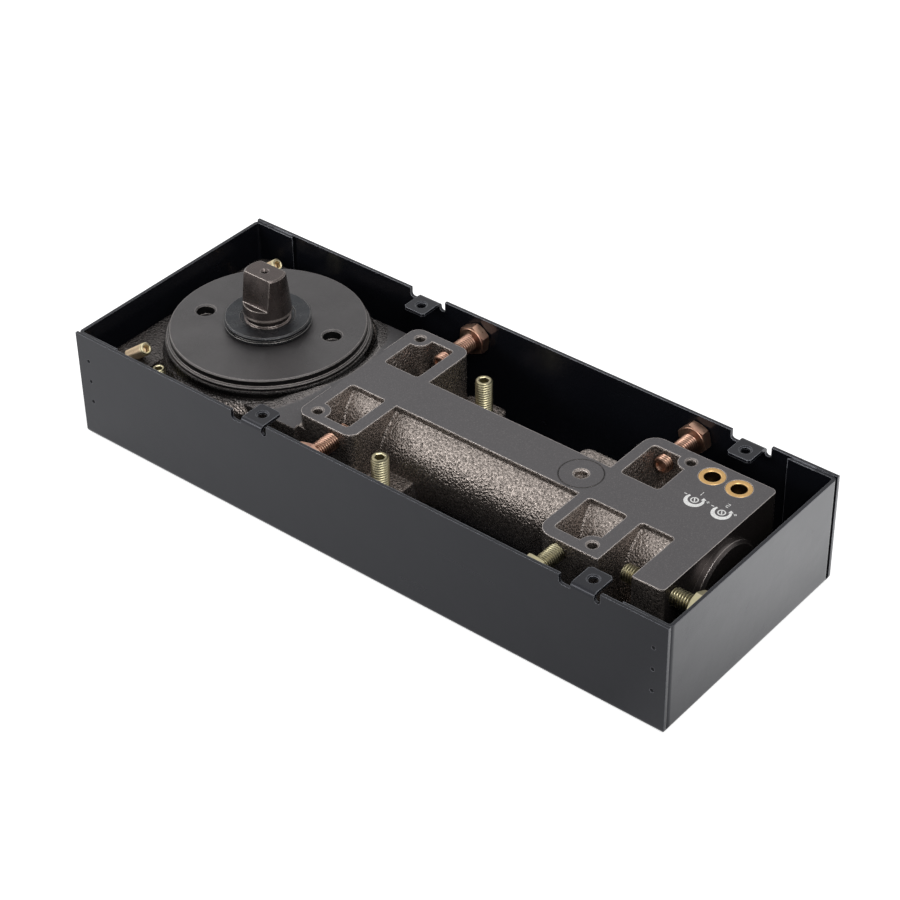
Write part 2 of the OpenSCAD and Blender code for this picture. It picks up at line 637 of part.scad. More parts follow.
module roller(x) color(steel) translate([x, 0, cam_z + 0.1]) difference() {
  cylinder(r = roller_r, h = cam_t - 0.2);
  translate([0, 0, -1]) cylinder(r = pin_r + run, h = cam_t + 2);
}

module spring_roller() roller(roller_x[0]);

module return_roller() roller(roller_x[1]);

// half a turn of wire in a tilted plane: from the top round the +Y side to the bottom, advancing half a pitch
module half_turn(tilt, q) rotate([0, -90 - tilt, 0]) rotate_extrude(angle = 180) translate([q, 0]) circle(wire_r);

module main_spring() color(steel) translate([0, 0, axis_z]) intersection() {
  union() {
    for (i = [0:half_turns - 1]) translate([coil_x[0] + (i + 0.5) * half_pitch, 0, 0])
      rotate([(i % 2) * 180, 0, 0]) half_turn(coil_tilt, coil_q);
    // closed end rings
    translate([coil_x[0], 0, 0]) mirror([0, 1, 0]) half_turn(0, coil_r);
    translate([coil_x[1], 0, 0]) mirror([0, half_turns % 2, 0]) half_turn(0, coil_r);
  }
  // both ends are ground flat
  block([seat_x[1], -40, -40], [piston_x[0], 40, 40]);
}

// ---------- speed valves ----------

module valve_screw(x) color(steel) difference() {
  translate([x, valve_y, 0]) rotate_extrude()
    polygon([[0, 28.5], [0.7, 28.5], [1.5, 32], [1.5, 34.6], [bush_in - run, 35], [bush_in - run, 37.5],
      [bush_in - 1, 37.5], [bush_in - 1, 39], [bush_in - run, 39], [bush_in - run, 45.6],
      [bush_in - 0.6, 46], [0, 46]]);
  block([x - 0.6, valve_y - 6, 44.2], [x + 0.6, valve_y + 6, 50]);
}

module speed_valve() valve_screw(valve_x[0]);

module latch_valve() valve_screw(valve_x[1]);

// ---------- adjusting screws ----------

module level_screw(m) color(zinc) mirror([0, m, 0]) translate([level_at[0], level_at[1], sheet_t + run])
  set_screw(level_r, 42.4, 2.3);

module corner_screw(m) color(zinc) mirror([0, m, 0]) translate([corner_at[0], corner_at[1], sheet_t + run])
  set_screw(screw_r, 43.9, 1.75);

module side_bolt(m, x, tip) color(copper) mirror([0, m, 0]) translate([x, in_y - end_gap, side_z])
  rotate([90, 0, 0]) hex_bolt(bolt_r, in_y - end_gap - bolt_head - tip);

module push_screw(m) color(copper) mirror([0, m, 0]) translate([push_top[0], push_y, push_top[1]])
  rotate([0, -90 - push_slope, 0]) translate([0, 0, push_len]) mirror([0, 0, 1]) set_screw(screw_r, push_len, 1.75);

module level_screw_near() level_screw(1);
module level_screw_far() level_screw(0);
module corner_screw_near() corner_screw(1);
module corner_screw_far() corner_screw(0);
module side_bolt_left_near() side_bolt(1, side_x[0], bolt_in);
module side_bolt_left_far() side_bolt(0, side_x[0], bolt_in);
module side_bolt_right_near() side_bolt(1, side_x[1], bolt_in + 4);
module side_bolt_right_far() side_bolt(0, side_x[1], bolt_in);
module end_bolt() color(zinc) translate([in_x - end_gap, end_bolt_at[0], end_bolt_at[1]])
  rotate([0, -90, 0]) hex_bolt(bolt_r, in_x - end_gap - bolt_head - 119.5);
module push_screw_near() push_screw(1);
module push_screw_far() push_screw(0);

cement_box();
casting();
cover_disc();
cover_seal();
end_cap();
end_cap_seal();
filler_plug();
valve_bushes();
lower_bearing();
upper_bearing();
spindle_seal();
spring_seat();
spindle();
heart_cam();
cam_key();
retaining_ring();
dust_collar();
slide_plates();
roller_pins();
yoke_pin();
tie_rod();
piston();
piston_seal();
check_ball();
check_retainer();
spring_roller();
return_roller();
main_spring();
speed_valve();
latch_valve();
level_screw_near();
level_screw_far();
corner_screw_near();
corner_screw_far();
side_bolt_left_near();
side_bolt_left_far();
side_bolt_right_near();
side_bolt_right_far();
end_bolt();
push_screw_near();
push_screw_far();
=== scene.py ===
import json
import math

import bpy
from mathutils import Matrix, Vector


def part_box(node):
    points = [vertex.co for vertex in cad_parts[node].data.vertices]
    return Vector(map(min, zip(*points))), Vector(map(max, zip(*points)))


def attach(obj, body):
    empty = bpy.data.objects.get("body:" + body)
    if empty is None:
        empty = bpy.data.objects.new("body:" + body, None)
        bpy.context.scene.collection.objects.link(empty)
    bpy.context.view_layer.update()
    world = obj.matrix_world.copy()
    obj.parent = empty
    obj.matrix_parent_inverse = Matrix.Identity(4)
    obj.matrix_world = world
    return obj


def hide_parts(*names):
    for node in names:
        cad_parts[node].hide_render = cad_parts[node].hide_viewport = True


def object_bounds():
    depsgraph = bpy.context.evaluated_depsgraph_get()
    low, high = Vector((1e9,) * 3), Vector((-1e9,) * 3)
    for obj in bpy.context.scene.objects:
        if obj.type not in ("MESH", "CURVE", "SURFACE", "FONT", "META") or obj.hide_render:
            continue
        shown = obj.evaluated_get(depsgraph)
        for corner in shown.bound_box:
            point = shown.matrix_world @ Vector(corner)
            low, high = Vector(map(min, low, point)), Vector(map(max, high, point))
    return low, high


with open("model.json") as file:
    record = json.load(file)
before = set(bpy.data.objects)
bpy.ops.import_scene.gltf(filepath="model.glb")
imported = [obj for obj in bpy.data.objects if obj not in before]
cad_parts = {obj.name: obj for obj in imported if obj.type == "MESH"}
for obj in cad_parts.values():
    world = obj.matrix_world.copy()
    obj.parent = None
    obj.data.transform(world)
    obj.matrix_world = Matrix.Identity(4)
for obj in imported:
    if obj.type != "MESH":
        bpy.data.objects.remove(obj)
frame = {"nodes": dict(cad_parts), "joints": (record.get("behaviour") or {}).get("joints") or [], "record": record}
cad_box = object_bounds()
MM = 0.001

# ---------------------------------------------------------------- camera

AZIMUTH, ELEVATION, ROLL = 39.868, 37.233, -1.066  # degrees
TARGET = Vector((1.409, 3.355, 27.5)) * MM
DISTANCE = 1080.92 * MM
SENSOR, LENS = 36.0, 100.348  # the camera's own millimetres


def camera():
    """A plain camera that looks at TARGET, rolled a little."""
    a, e, r = (math.radians(v) for v in (AZIMUTH, ELEVATION, ROLL))
    back = Vector((math.sin(a) * math.cos(e), -math.cos(a) * math.cos(e), math.sin(e)))
    right = Vector((math.cos(a), math.sin(a), 0))
    up = back.cross(right)
    right, up = right * math.cos(r) + up * math.sin(r), up * math.cos(r) - right * math.sin(r)
    data = bpy.data.cameras.new("Camera")
    cam = bpy.data.objects.new("Camera", data)
    bpy.context.scene.collection.objects.link(cam)
    data.sensor_width, data.lens = SENSOR, LENS
    data.clip_start, data.clip_end = 0.01, 50
    m = Matrix((right, up, back)).transposed().to_4x4()
    m.translation = TARGET + back * DISTANCE
    cam.matrix_world = m
    bpy.context.scene.camera = cam


camera()

# ---------------------------------------------------------------- material helpers

EDGE_GAIN = 7.0  # how quickly a bevelled normal counts as an edge


class Nodes:
    """Adds nodes to one node tree and links them."""

    def __init__(self, node_tree):
        self.nt = node_tree

    def add(self, kind, **props):
        n = self.nt.nodes.new(kind)
        for k, v in props.items():
            setattr(n, k, v)
        return n

    def plug(self, value, socket):
        if isinstance(value, bpy.types.NodeSocket):
            self.nt.links.new(value, socket)
        else:
            socket.default_value = value

    def math(self, op, a, b=0.0, c=0.0, clamp=False):
        n = self.add("ShaderNodeMath", operation=op, use_clamp=clamp)
        for value, socket in zip((a, b, c), n.inputs):
            self.plug(value, socket)
        return n.outputs[0]

    def both(self, *masks):
        """Product of masks: 1 where all of them are 1."""
        out = masks[0]
        for m in masks[1:]:
            out = self.math("MULTIPLY", out, m)
        return out

    def step(self, value, a, b):
        """0 at a and 1 at b, both in mm."""
        return self.remap(value, a * MM, b * MM)

    def remap(self, fac, a, b, lo=0.0, hi=1.0):
        n = self.add("ShaderNodeMapRange")
        self.plug(fac, n.inputs["Value"])
        for k, v in (("From Min", a), ("From Max", b), ("To Min", lo), ("To Max", hi)):
            self.plug(v, n.inputs[k])
        return n.outputs["Result"]

    def xyz(self, v):
        n = self.add("ShaderNodeSeparateXYZ")
        self.plug(v, n.inputs[0])
        return n.outputs


class Tree(Nodes):
    """A small builder for one node material."""

    def __init__(self, name):
        self.mat = bpy.data.materials.new(name)
        self.mat.use_nodes = True
        super().__init__(self.mat.node_tree)
        self.bsdf = self.nt.nodes["Principled BSDF"]
        self.obj = self.add("ShaderNodeTexCoord").outputs["Object"]

    def noise(self, scale, detail=3.0, rough=0.55, stretch=None):
        n = self.add("ShaderNodeTexNoise")
        vec = self.obj
        if stretch:
            mp = self.add("ShaderNodeMapping")
            self.plug(vec, mp.inputs["Vector"])
            mp.inputs["Scale"].default_value = stretch
            vec = mp.outputs["Vector"]
        self.plug(vec, n.inputs["Vector"])
        n.inputs["Scale"].default_value = scale
        n.inputs["Detail"].default_value = detail
        n.inputs["Roughness"].default_value = rough
        return n.outputs["Fac"]

    def cells(self, scale, smooth):
        n = self.add("ShaderNodeTexVoronoi", feature="SMOOTH_F1")
        self.plug(self.obj, n.inputs["Vector"])
        n.inputs["Scale"].default_value = scale
        n.inputs["Smoothness"].default_value = smooth
        return n.outputs["Distance"]

    def radius(self, x, y, centre):
        """Distance from an upright axis at centre."""
        dx, dy = self.math("SUBTRACT", x, centre[0]), self.math("SUBTRACT", y, centre[1])
        return self.math("SQRT", self.math("ADD", self.both(dx, dx), self.both(dy, dy)))

    def facing(self):
        """Parts of the surface's own normal."""
        return self.xyz(self.add("ShaderNodeNewGeometry").outputs["Normal"])

    def mix(self, fac, a, b):
        n = self.add("ShaderNodeMix", data_type="RGBA")
        self.plug(fac, n.inputs["Factor"])
        for v, s in ((a, n.inputs[6]), (b, n.inputs[7])):
            self.plug(v if isinstance(v, bpy.types.NodeSocket) else (*v, 1.0), s)
        return n.outputs[2]

    def mixf(self, fac, a, b):
        n = self.add("ShaderNodeMix", data_type="FLOAT")
        self.plug(fac, n.inputs["Factor"])
        self.plug(a, n.inputs[2])
        self.plug(b, n.inputs[3])
        return n.outputs[0]

    def rounded(self, radius):
        """Normal of the surface with its edges rounded off."""
        n = self.add("ShaderNodeBevel", samples=4)
        self.plug(radius, n.inputs["Radius"])
        return n.outputs["Normal"]

    def edge(self, radius):
        """1 along the edges of the shape, 0 on its faces."""
        g = self.add("ShaderNodeNewGeometry")
        d = self.add("ShaderNodeVectorMath", operation="DOT_PRODUCT")
        self.plug(self.rounded(radius), d.inputs[0])
        self.plug(g.outputs["Normal"], d.inputs[1])
        return self.math("MULTIPLY", self.math("SUBTRACT", 1.0, d.outputs["Value"]), EDGE_GAIN, clamp=True)

    def bump(self, height, dist, normal=None, strength=1.0):
        n = self.add("ShaderNodeBump")
        self.plug(height, n.inputs["Height"])
        self.plug(strength, n.inputs["Strength"])
        n.inputs["Distance"].default_value = dist
        if normal is not None:
            self.plug(normal, n.inputs["Normal"])
        return n.outputs["Normal"]

    def finish(self, color, rough, metal, normal=None, **consts):
        b = self.bsdf.inputs
        self.plug(color if isinstance(color, bpy.types.NodeSocket) else (*color, 1.0), b["Base Color"])
        self.plug(rough, b["Roughness"])
        self.plug(metal, b["Metallic"])
        if normal is not None:
            self.plug(normal, b["Normal"])
        for k, v in consts.items():
            b[k.replace("_", " ")].default_value = v
        return self.mat


# ---------------------------------------------------------------- materials

WALL_X, WALL_Y = cad_box[1][0] / MM, cad_box[1][1] / MM  # outer faces of the floor box


def centre_of(node):
    lo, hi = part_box(node)
    return (lo + hi) / 2


def box_paint():
    """Black paint with thin edges painted lighter as a highlight, and spot-weld pits near the ends painted nearly
    black.
    """
    t = Tree("box_paint")
    x, y, z = t.xyz(t.obj)
    along, across = t.math("ABSOLUTE", x), t.math("ABSOLUTE", y)
    nx, _, nz = t.facing()
    soft = t.noise(35, 4)
    tab = t.both(t.step(across, WALL_Y - 0.8, WALL_Y - 1.4), t.step(z, 49.5, 50),
                 t.step(along, WALL_X - 10, WALL_X - 11))
    edge = t.mixf(tab, t.edge(0.28 * MM), t.edge(0.6 * MM))
    # painted highlight: thin edges, wider and stronger on the tabs, painted lighter and broken up by noise
    painted_edge_highlight = t.both(edge, t.remap(t.noise(300, 3), 0.25, 0.5, 0.35, 1.0))
    col = t.mix(soft, (0.0030, 0.0034, 0.0050), (0.0048, 0.0053, 0.0072))
    col = t.mix(t.both(painted_edge_highlight, t.mixf(tab, 0.75, 0.9)), col, (0.28, 0.29, 0.32))
    # weld pits: below the wall's outer face, without the sheet's own end and rim faces; painted nearly black
    weld = t.both(t.step(across, WALL_Y - 0.05, WALL_Y - 0.15), t.step(across, WALL_Y - 1.1, WALL_Y - 0.9),
                  t.step(along, WALL_X - 10, WALL_X - 9.8), t.step(z, 10, 11),
                  *(t.remap(t.math("ABSOLUTE", n), 0.92, 0.88) for n in (nx, nz)))
    col = t.mix(weld, col, (0.0008, 0.0008, 0.0008))
    smear = t.noise(60, 5, 0.65, stretch=(0.25, 1, 1.6))
    rough = t.mixf(weld, t.remap(smear, 0.3, 0.75, 0.20, 0.29), 0.85)
    nrm = t.bump(t.noise(2600, 2, 0.6), 0.01 * MM, t.rounded(0.5 * MM))
    nrm = t.bump(soft, 0.3 * MM, nrm, 0.5)
    return t.finish(col, rough, 0.0, nrm, Specular_IOR_Level=0.36, Specular_Tint=(0.90, 0.91, 1.0, 1.0))


def cast_iron():
    """Hammered paint on the rough faces, ground matte top; painted shade in the moat, round the filler plug and on
    the low left flange; painted highlights along the edges.
    """
    t = Tree("casting")
    x, y, z = t.xyz(t.obj)
    nz = t.facing()[2]
    casting_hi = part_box("casting")[1]
    top_z, end_x = casting_hi.z / MM, casting_hi.x / MM
    neck_end, neck_low = -46, 43.4

    # where each finish lies
    from_head = t.radius(x, y, centre_of("cover_disc"))
    from_plug = t.radius(x, y, centre_of("filler_plug"))
    # the moat's rolled edge is left as cast
    outside = t.step(t.math("MULTIPLY_ADD", t.noise(500, 3), 2.2 * MM, from_head), 53.7, 55.2)
    top = t.both(t.step(z, top_z - 0.5, top_z - 0.3), t.remap(nz, 0.8, 0.95), outside)
    shelf = t.both(t.step(x, neck_end, neck_end - 0.6), t.step(z, neck_low - 0.4, neck_low),
                   t.remap(nz, 0.88, 0.93), outside)
    flat = t.math("MAXIMUM", top, shelf)
    end = t.step(x, end_x - 0.3, end_x - 0.1)
    plain = t.math("MAXIMUM", flat, end)
    moat_shade = t.both(t.step(from_head, 45.9, 46.1), t.step(from_head, 49.4, 48.2), t.step(z, 45, 45.5))
    rolled = t.both(t.step(from_head, 57.5, 55.5), t.step(z, 41, 43))
    # painted shade: mask of the low faces of the left flange
    low = t.both(t.step(x, -90, -120), t.step(z, 44, 42))
    plug_rim = t.both(t.step(from_plug, 11.2, 10.8), t.step(from_plug, 7, 7.5))
    plug_gap_shade = t.both(t.step(from_plug, 9.1, 9.3), t.step(from_plug, 10, 9.8), top)

    # grain of the hammered paint, of the ground faces, and slow clouds
    warp = t.noise(1050, 3, 0.6)
    hammer = t.math("MULTIPLY_ADD", t.cells(1100, smooth=0.45), 0.8, warp)
    speck = t.noise(2300, 2, 0.7)
    cloud = t.noise(28, 4)

    brown = t.mix(cloud, (0.070, 0.060, 0.054), (0.102, 0.088, 0.079))
    brown = t.mix(t.remap(hammer, 0.60, 1.1), brown, (0.31, 0.27, 0.245))
    # painted shade on the low left flange
    brown = t.mix(t.both(low, 0.75), brown, (0.020, 0.0185, 0.019))
    sand = t.mix(speck, (0.035, 0.033, 0.034), (0.125, 0.120, 0.122))
    brown = t.mix(t.both(rolled, 0.75), brown, sand)
    ground = t.mix(cloud, (0.072, 0.068, 0.071), (0.088, 0.083, 0.086))
    ground = t.mix(t.remap(speck, 0.55, 0.75), ground, (0.145, 0.135, 0.135))
    ground = t.mix(t.both(shelf, 0.35), ground, (0.03, 0.03, 0.031))
    col = t.mix(flat, brown, ground)

    # painted highlights along the edges and on the end cap's rim, painted shade in the moat and the plug's gap,
    # smooth end face
    edge = t.edge(0.55 * MM)
    # painted highlight along the edges, stronger higher up, none on the plug's rim
    painted_edge_glint = t.both(edge, t.remap(t.noise(420, 3), 0.2, 0.5, 0.4, 1.0),
                    t.remap(z, 49 * MM, 51.2 * MM, 0.2, 0.95), t.math("SUBTRACT", 1.0, plug_rim))
    col = t.mix(painted_edge_glint, col, (0.66, 0.60, 0.57))
    # painted shade in the moat round the cover disc
    col = t.mix(t.both(moat_shade, 0.86), col, (0.006, 0.006, 0.006))
    col = t.mix(t.both(end, t.math("SUBTRACT", 1.0, top)), col, (0.080, 0.070, 0.067))
    # painted highlight on the end cap's rim
    col = t.mix(t.both(end, edge, 0.8), col, (0.60, 0.55, 0.52))
    # painted shade in the gap round the filler plug
    col = t.mix(t.both(plug_gap_shade, 0.85), col, (0.010, 0.009, 0.009))

    rough = t.mixf(flat, t.remap(warp, 0.35, 0.65, 0.17, 0.30), t.remap(speck, 0.4, 0.7, 0.52, 0.40))
    rough = t.mixf(end, rough, 0.27)
    rounded = t.rounded(t.mixf(plain, 1.6 * MM, 0.3 * MM))
    nrm = t.bump(hammer, 0.34 * MM, rounded, t.mixf(plain, 1.0, 0.0))
    nrm = t.bump(speck, 0.04 * MM, nrm, t.mixf(top, t.mixf(shelf, 0.3, 1.0), 0.8))
    return t.finish(col, rough, t.mixf(flat, 0.85, 0.5), nrm)


def turned(name, base, dark, edge_highlight_col, metal, rough, centre=None, rings=0.0, edge_r=0.4 * MM,
           edge_highlight_mix=0.7, mottled=0.5, highlight_band=None, side=1.0):
    """Machined metal: fine turning rings round a centre, mottling, edges painted brighter as a highlight.

    side paints shade on the upright faces by darkening them; the band is (from, to, colour) of a band painted
    lighter as a highlight, by height in mm.
    """
    t = Tree(name)
    speck = t.noise(2400, 2, 0.7)
    col = t.mix(t.remap(t.noise(60, 5, 0.6), 0.5 - mottled / 2, 0.5 + mottled / 2), dark, base)
    col = t.mix(t.remap(speck, 0.56, 0.78, 0.0, 0.5), col, tuple(min(1, c * 2.0) for c in base))
    if side != 1.0:
        # painted shade: upright faces darker
        upright = t.remap(t.math("ABSOLUTE", t.facing()[2]), 0.6, 0.4)
        col = t.mix(upright, col, tuple(side * c for c in dark))
    # painted highlight along the edges
    painted_edge_highlight = t.both(t.edge(edge_r), t.remap(t.noise(300, 3), 0.2, 0.5, 0.3, 1.0))
    col = t.mix(t.both(painted_edge_highlight, edge_highlight_mix), col, edge_highlight_col)
    if highlight_band:
        z = t.xyz(t.obj)[2]
        low, high, band_highlight_col = highlight_band
        # painted highlight: a band painted lighter by height
        col = t.mix(t.both(t.step(z, low - 0.3, low), t.step(z, high + 0.5, high)), col, band_highlight_col)
    height = speck
    if rings:
        mp = t.add("ShaderNodeMapping")
        t.plug(t.obj, mp.inputs["Vector"])
        mp.inputs["Location"].default_value = (-centre[0], -centre[1], 0)
        w = t.add("ShaderNodeTexWave", wave_type="RINGS", rings_direction="Z")
        t.plug(mp.outputs["Vector"], w.inputs["Vector"])
        w.inputs["Scale"].default_value = rings
        w.inputs["Distortion"].default_value = 0.6
        w.inputs["Detail"].default_value = 2.0
        height = t.math("ADD", t.both(w.outputs["Fac"], 0.6), t.both(speck, 0.6))
    nrm = t.bump(height, 0.02 * MM, t.rounded(edge_r))
    return t.finish(col, t.remap(t.noise(180, 4), 0.3, 0.7, *rough), metal, nrm)


def plated(name, a, b, c):
    """Passivated zinc: the hue wanders, grooves are painted darker as shade, marked ends are golden."""
    t = Tree(name)
    spots = t.noise(900, 3, 0.6)
    col = t.mix(t.remap(t.noise(220, 3, 0.6), 0.35, 0.65), a, b)
    col = t.mix(t.remap(spots, 0.58, 0.75, 0.0, 0.6), col, c)
    gold = t.add("ShaderNodeAttribute", attribute_name="gold").outputs["Fac"]
    groove = t.add("ShaderNodeAttribute", attribute_name="groove").outputs["Fac"]
    col = t.mix(gold, col, (0.74, 0.66, 0.42))
    # painted shade in the thread grooves and sockets
    col = t.mix(t.both(groove, 0.9), col, tuple(0.12 * v for v in a))
    nrm = t.bump(t.noise(3000, 2), 0.01 * MM, t.rounded(0.15 * MM))
    return t.finish(col, t.remap(spots, 0.3, 0.7, 0.26, 0.42), 1.0, nrm)


def rubber():
    t = Tree("rubber")
    n = t.noise(1500, 3)
    return t.finish(t.mix(n, (0.012, 0.012, 0.012), (0.03, 0.03, 0.03)), t.remap(n, 0.3, 0.7, 0.5, 0.7), 0.0,
                    t.bump(n, 0.02 * MM))


def print_white():
    """Slightly broken white ink."""
    t = Tree("print_white")
    n = t.noise(1800, 3, 0.65)
    col = t.mix(t.remap(n, 0.42, 0.62), (0.62, 0.62, 0.61), (0.86, 0.86, 0.85))
    return t.finish(col, t.remap(n, 0.3, 0.7, 0.45, 0.6), 0.0, t.bump(n, 0.01 * MM))


def steel(name, base, dark, edge_highlight_col, rough):
    """Bare steel of the inner pieces."""
    return turned(name, base, dark, edge_highlight_col, 1.0, rough)


AXIS = centre_of("cover_disc")
M = {
    "box_paint": box_paint(),
    "casting": cast_iron(),
    "disc_iron": turned("disc_iron", (0.066, 0.062, 0.063), (0.050, 0.047, 0.048), (0.55, 0.50, 0.47),
                        0.5, (0.33, 0.43), AXIS, rings=9000, edge_r=0.6 * MM, mottled=0.6, side=0.10),
    "rubber": rubber(),
    "brass": turned("brass", (0.58, 0.37, 0.16), (0.48, 0.29, 0.11), (0.74, 0.54, 0.30),
                    1.0, (0.32, 0.45), side=0.15),
    "bearing_steel": steel("bearing_steel", (0.5, 0.5, 0.51), (0.36, 0.36, 0.37), (0.7, 0.7, 0.7), (0.25, 0.4)),
    # the spindle's bead carries a painted highlight band
    "spindle_steel": turned("spindle_steel", (0.105, 0.087, 0.082), (0.066, 0.054, 0.051), (0.46, 0.41, 0.38),
                            0.9, (0.20, 0.32), edge_r=0.6 * MM, mottled=0.4,
                            highlight_band=(59.2, 61.2, (0.50, 0.43, 0.39))),
    "collar_metal": turned("collar_metal", (0.020, 0.022, 0.026), (0.013, 0.015, 0.018), (0.50, 0.47, 0.44),
                           0.7, (0.24, 0.34), AXIS, rings=12000, edge_highlight_mix=0.6),
    "spring_steel": steel("spring_steel", (0.2, 0.2, 0.22), (0.11, 0.11, 0.12), (0.5, 0.5, 0.5), (0.3, 0.45)),
    "valve_steel": steel("valve_steel", (0.22, 0.2, 0.18), (0.13, 0.12, 0.11), (0.5, 0.48, 0.45), (0.3, 0.45)),
    "zinc_yellow": plated("zinc_yellow", (0.38, 0.35, 0.23), (0.47, 0.42, 0.26), (0.42, 0.34, 0.31)),
    "zinc_copper": plated("zinc_copper", (0.47, 0.27, 0.205), (0.56, 0.36, 0.26), (0.45, 0.38, 0.27)),
}
slots = {s["node"]: s["material_slot"] for s in frame["record"]["subparts"]}


def dress(node, slot):
    """Give a CAD node the material of its slot."""
    mesh = frame["nodes"][node].data
    if not mesh.materials:
        mesh.materials.append(None)
    for i in range(len(mesh.materials)):
        mesh.materials[i] = M[slot]


for node, slot in slots.items():
    dress(node, slot)

# ---------------------------------------------------------------- threaded screws

SEG = 48            # points round each ring
M6 = 3.0 * MM, 1.0 * MM, 3.0 * MM    # radius, pitch, width of the hexagon socket
M8 = 4.0 * MM, 1.25 * MM, 4.0 * MM
BOLT_R, BOLT_PITCH, BOLT_AF, BOLT_HEAD = 4.0 * MM, 1.25 * MM, 13.0 * MM, 5.3 * MM
PUSH_TOP, PUSH_LEN = Vector((-133.5, 0, 48.3)) * MM, 30.2 * MM  # socket end and length of a push screw


def lerp(points, z):
    """Radius at height z of a turned outline given as (height, radius) points."""
    if z <= points[0][0]:
        return points[0][1]
    for (z0, r0), (z1, r1) in zip(points, points[1:]):
        if z <= z1:
            return r0 + (r1 - r0) * (z - z0) / max(z1 - z0, 1e-12)
    return points[-1][1]


def hex_radius(af, a):
    """Radius of a hexagon of width af across flats in direction a."""
    s = (a + math.pi / 6) % (math.pi / 3) - math.pi / 6
    return af / 2 / math.cos(s)


class Rings:
    """Closed rings of SEG points, joined one after the other."""

    def __init__(self):
        self.v, self.f, self.groove, self.last = [], [], [], None

    def ring(self, fn, groove=0.0):
        """One ring; fn gives radius and height, and perhaps the groove's depth, for an angle."""
        start = len(self.v)
        for i in range(SEG):
            a = 2 * math.pi * i / SEG
            r, z, *g = fn(a)
            self.v.append((r * math.cos(a), r * math.sin(a), z))
            self.groove.append(g[0] if g else groove)
        if self.last is not None:
            p = self.last
            for i in range(SEG):
                j = (i + 1) % SEG
                self.f.append((p + i, p + j, start + j, start + i))
        self.last = start

    def cap(self, z, first=False):
        """Close the last ring by a fan to the axis at height z."""
        self.v.append((0, 0, z))
        self.groove.append(0.3)
        c, p = len(self.v) - 1, self.last
        for i in range(SEG):
            j = (i + 1) % SEG
            self.f.append((c, p + j, p + i) if first else (p + i, p + j, c))

    def piece(self, node, matrix, gold=(0.0, 0.0)):
        """The visible screw of a node; gold is how golden its shaft and its last 1.6 mm are."""
        shaft_end = max(co[2] for co in self.v) - 1.6 * MM
        name = node + "_threaded"
        me = bpy.data.meshes.new(name)
        me.from_pydata(self.v, [], self.f)
        me.transform(matrix)
        if matrix.determinant() < 0:
            me.flip_normals()
        for p in me.polygons:
            p.use_smooth = True
        me.set_sharp_from_angle(angle=math.radians(38))
        att = me.attributes.new("groove", "FLOAT", "POINT")
        att.data.foreach_set("value", self.groove)
        att = me.attributes.new("gold", "FLOAT", "POINT")
        att.data.foreach_set("value", [gold[co[2] > shaft_end] for co in self.v])
        me.materials.append(M[slots[node]])
        ob = bpy.data.objects.new(name, me)
        bpy.context.scene.collection.objects.link(ob)
        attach(ob, node)
        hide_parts(node)


def threaded(rings, r, pitch, z0, z1, limit):
    """Rings of a V thread from z0 to z1, kept inside the turned outline limit."""
    depth = 0.58 * pitch
    steps = max(2, round((z1 - z0) / pitch * 6))
    for k in range(steps + 1):
        z = z0 + (z1 - z0) * k / steps

        def fn(a):
            ph = (z / pitch - a / (2 * math.pi)) % 1.0
            tri = abs(2 * ph - 1)
            cut = min(1.0, max(0.0, 1.12 * tri))
            rr = min(r - depth * cut, lerp(limit, z))
            return rr, z, cut
        rings.ring(fn)


def set_screw(node, matrix, r, pitch, socket, length, gold=(0.0, 0.0)):
    """Socket set screw: tip at z 0, socket end at z length."""
    q = Rings()
    q.ring(lambda a: (0.5 * r, 0))
    q.cap(0, first=True)
    limit = [(0, 0.55 * r), (0.45 * r, r), (length - 0.6 * MM, r), (length, r - 0.7 * MM)]
    threaded(q, r, pitch, 0, length, limit)
    ch = 0.3 * MM
    q.ring(lambda a: (hex_radius(socket, a) + ch, length), 0.1)
    q.ring(lambda a: (hex_radius(socket, a), length - ch), 0.1)
    q.ring(lambda a: (hex_radius(socket, a), length - 1.1 * r), 0.5)
    q.cap(length - 1.25 * r)
    q.piece(node, matrix, gold)


def hex_bolt(node, matrix, length):
    """Hexagon bolt: outer face of the head at z 0, tip at z length."""
    q, r, af, head = Rings(), BOLT_R, BOLT_AF, BOLT_HEAD
    face_r = af / 2 * 0.93
    slope = math.tan(math.radians(30))
    q.ring(lambda a: (0.35 * face_r, 0.05 * MM))
    q.cap(0.05 * MM, first=True)
    q.ring(lambda a: (0.9 * face_r, 0.05 * MM))
    q.ring(lambda a: (face_r, 0.0))
    q.ring(lambda a: (hex_radius(af, a), (hex_radius(af, a) - face_r) * slope))
    low = head - 0.35 * MM
    q.ring(lambda a: (hex_radius(af, a), low - max(0.0, hex_radius(af, a) - af / 2 * 1.06) * 0.5))
    q.ring(lambda a: (af / 2 * 0.97, low))
    q.ring(lambda a: (af / 2 * 0.95, head), 0.2)
    q.ring(lambda a: (r + 0.5 * MM, head), 0.5)
    shank = head + 0.4 * MM
    q.ring(lambda a: (r * 0.93, shank), 0.4)
    limit = [(shank, r * 0.93), (head + 1.3 * MM, r), (length - 0.8 * MM, r), (length, r - 0.8 * MM)]
    threaded(q, r, BOLT_PITCH, shank, length, limit)
    # shallow cup in the tip
    q.ring(lambda a: (0.6 * r, length), 0.1)
    q.ring(lambda a: (0.5 * r, length - 1.3 * MM), 0.6)
    q.cap(length - 1.7 * MM)
    q.piece(node, matrix)


def place(origin, direction, spin):
    """Matrix that lays local +Z along direction at origin, turned by spin."""
    z = Vector(direction).normalized()
    x = Vector((0, 0, 1)).cross(z) if abs(z.z) < 0.95 else Vector((1, 0, 0))
    x.normalize()
    y = z.cross(x)
    m = Matrix((x, y, z)).transposed().to_4x4()
    m.translation = Vector(origin)
    return m @ Matrix.Rotation(spin, 4, "Z")


